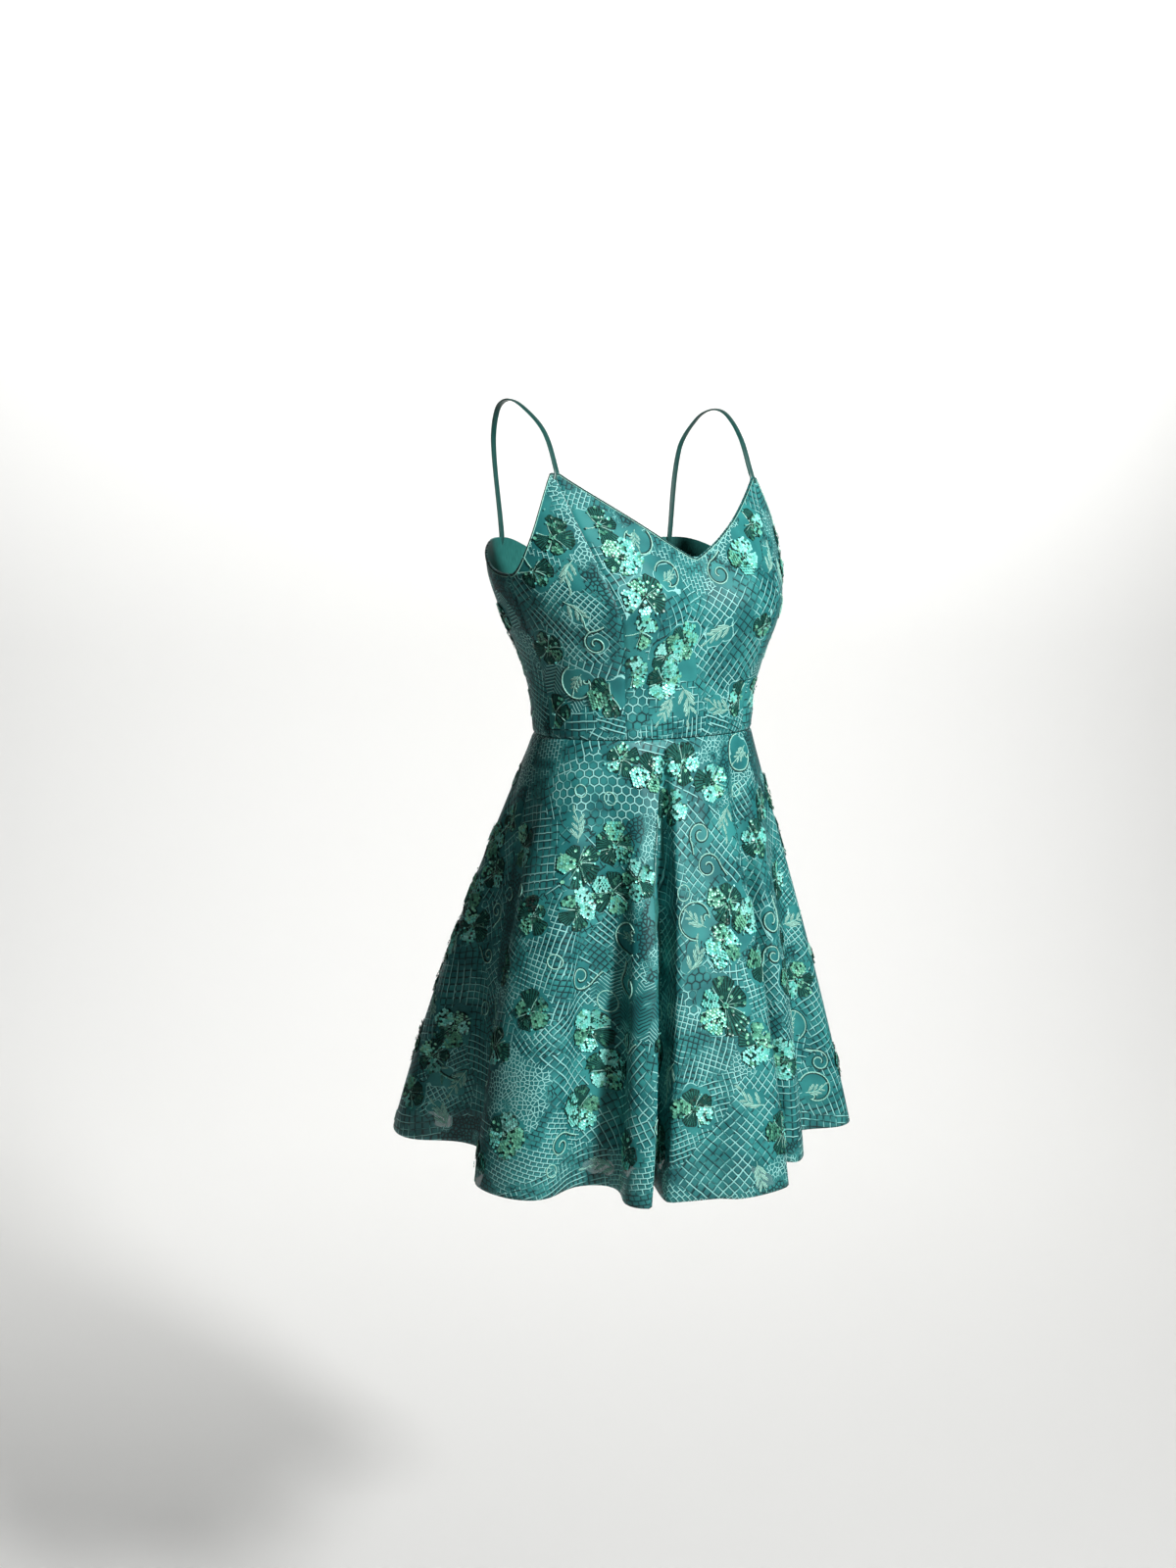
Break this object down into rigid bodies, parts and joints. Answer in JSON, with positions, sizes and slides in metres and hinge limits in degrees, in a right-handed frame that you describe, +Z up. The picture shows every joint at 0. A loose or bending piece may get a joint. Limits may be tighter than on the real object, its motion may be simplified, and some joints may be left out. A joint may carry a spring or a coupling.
{
  "type": "cocktail dress",
  "caption": "Short sleeveless cocktail dress with a V neck, spaghetti straps, princess-seamed bodice and a flared, deeply fluted lace skirt over a shorter lining.",
  "frame": {"origin": "Where the wearer's shoulders carry the dress: midway between the two straps, level with the underside of their tops.", "axes": "+Z up, the dress faces -Y, +X is the wearer's left."},
  "size_m": [0.4519, 0.4532, 0.7723],
  "materials": {
    "lace": "teal embroidered and sequinned lace over satin",
    "satin": "teal satin",
    "strap": "dark teal satin",
    "zip_tape": "woven zip tape",
    "zip_metal": "teal enamel"
  },
  "bodies": {
    "dress": {"bodice_front": "lace", "bodice_side_front_left": "lace", "bodice_side_front_right": "lace", "bodice_back_left": "lace", "bodice_back_right": "lace", "skirt_lace_front": "lace", "skirt_lace_back_left": "lace", "skirt_lace_back_right": "lace", "skirt_lining_front": "satin", "skirt_lining_back_left": "satin", "skirt_lining_back_right": "satin", "strap_left": "strap", "strap_right": "strap", "zip_tape": "zip_tape", "zip_slider": "zip_metal"},
    "pull": {"zip_pull": "zip_metal"}
  },
  "joints": [
    {"name": "pull_swing", "type": "hinge", "parent": "dress", "child": "pull", "pos_m": [0, 0.07303, -0.16186], "axis": [1, 0, 0], "range_deg": [-8, 160]}
  ]
}
